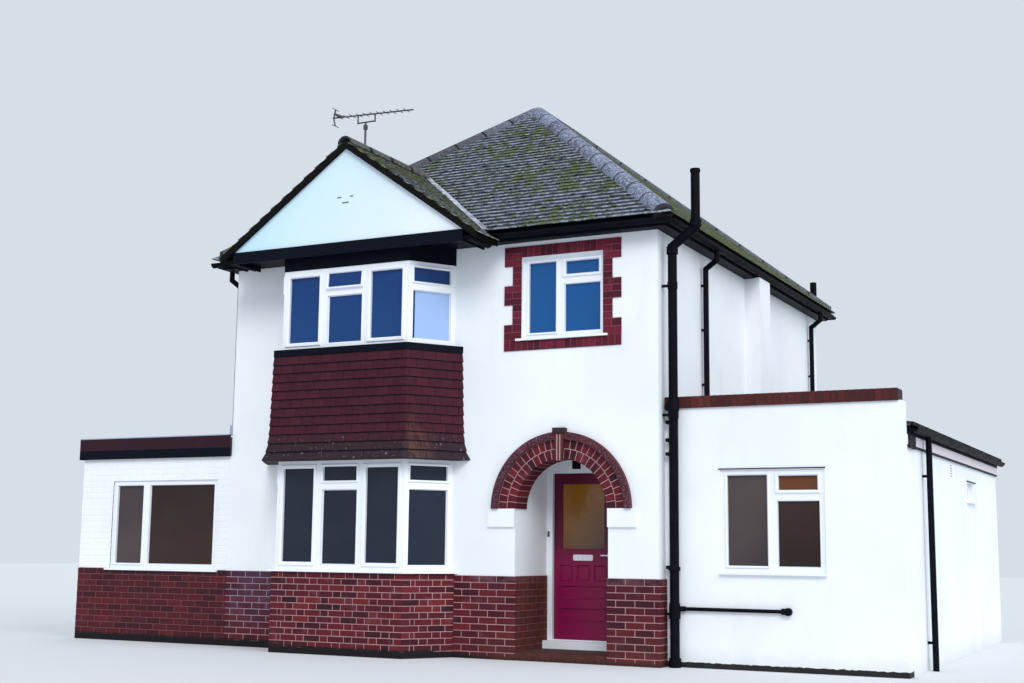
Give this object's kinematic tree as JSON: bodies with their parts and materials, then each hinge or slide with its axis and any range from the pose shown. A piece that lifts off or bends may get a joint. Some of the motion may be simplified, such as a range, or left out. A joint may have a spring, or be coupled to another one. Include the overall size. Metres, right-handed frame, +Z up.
{
  "type": "detached house",
  "caption": "Two-storey white rendered house with a tile-hung canted bay, a gable, an arched brick porch with a hinged front door and single-storey wings.",
  "frame": {"origin": "on the ground under the middle of the two-storey block", "axes": "+Z up, +X to the right along the front, +Y into the house; the front faces -Y"},
  "size_m": [11.25, 8.082, 7.5986],
  "materials": {
    "floor_concrete": "matt",
    "floor_timber": "satin",
    "white_plaster": "matt",
    "white_render": "matt masonry paint",
    "red_brick": "rough",
    "orange_brick": "rough",
    "pale_tile": "rough",
    "hung_tile": "matt clay",
    "roof_tile": "weathered",
    "pale_board": "worn paint",
    "roof_felt": "mineral felt",
    "white_plastic": "gloss",
    "black_plastic": "satin",
    "black_board": "gloss paint",
    "brown_board": "gloss paint",
    "window_glass": "clear",
    "amber_glass": "obscured",
    "maroon_door": "gloss paint",
    "steel": "satin",
    "aerial_metal": "weathered"
  },
  "bodies": {
    "house": {"ground_floor": "floor_concrete", "first_floor": "floor_timber", "ceilings": "white_plaster", "front_wall_left": "white_render", "front_wall_middle": "white_render", "front_wall_pier": "white_render", "front_wall_over_porch": "white_render", "bay_beams": "white_render", "left_wall": "white_render", "right_wall": "white_render", "rear_wall": "white_render", "flue_breast": "white_render", "porch_side_walls": "white_render", "porch_back_pier": "white_render", "porch_over_door": "white_render", "porch_floor": "red_brick", "arch_ring": "red_brick", "arch_hood": "red_brick", "arch_keystone": "pale_tile", "arch_imposts": "white_render", "brick_plinth": "red_brick", "bay_base": "red_brick", "bay_sill": "white_plastic", "bay_lower_frame": "white_plastic", "bay_apron": "hung_tile", "bay_boards": "black_board", "bay_upper_frame": "white_plastic", "bay_glass": "window_glass", "window_frames": "white_plastic", "window_sills": "white_plastic", "window_glass": "window_glass", "window_surround": "red_brick", "gable_wall": "white_render", "gable_fascia": "black_board", "gable_soffit": "black_board", "gable_roof": "roof_tile", "main_roof": "roof_tile", "ridge_tiles": "roof_tile", "eaves_boards": "black_board", "gutters": "black_plastic", "downpipes": "black_plastic", "soil_stack": "black_plastic", "door_frame": "white_plastic", "door_hinges": "steel", "left_front_wall": "white_render", "left_fascia": "brown_board", "left_roof": "roof_felt", "wing_side_walls": "white_render", "wing_rear_walls": "white_render", "right_front_wall": "white_render", "right_coping": "orange_brick", "right_roof": "roof_felt", "wing_frieze": "pale_board", "aerial": "aerial_metal", "porch_lamp": "black_plastic"},
    "front_door": {"door_leaf": "maroon_door", "door_glass": "amber_glass", "door_furniture": "steel"}
  },
  "joints": [
    {"name": "front_door_hinge", "type": "hinge", "parent": "house", "child": "front_door", "pos_m": [1.2435, -2.483, 0], "axis": [0, 0, 1], "range_deg": [0, 90]}
  ]
}
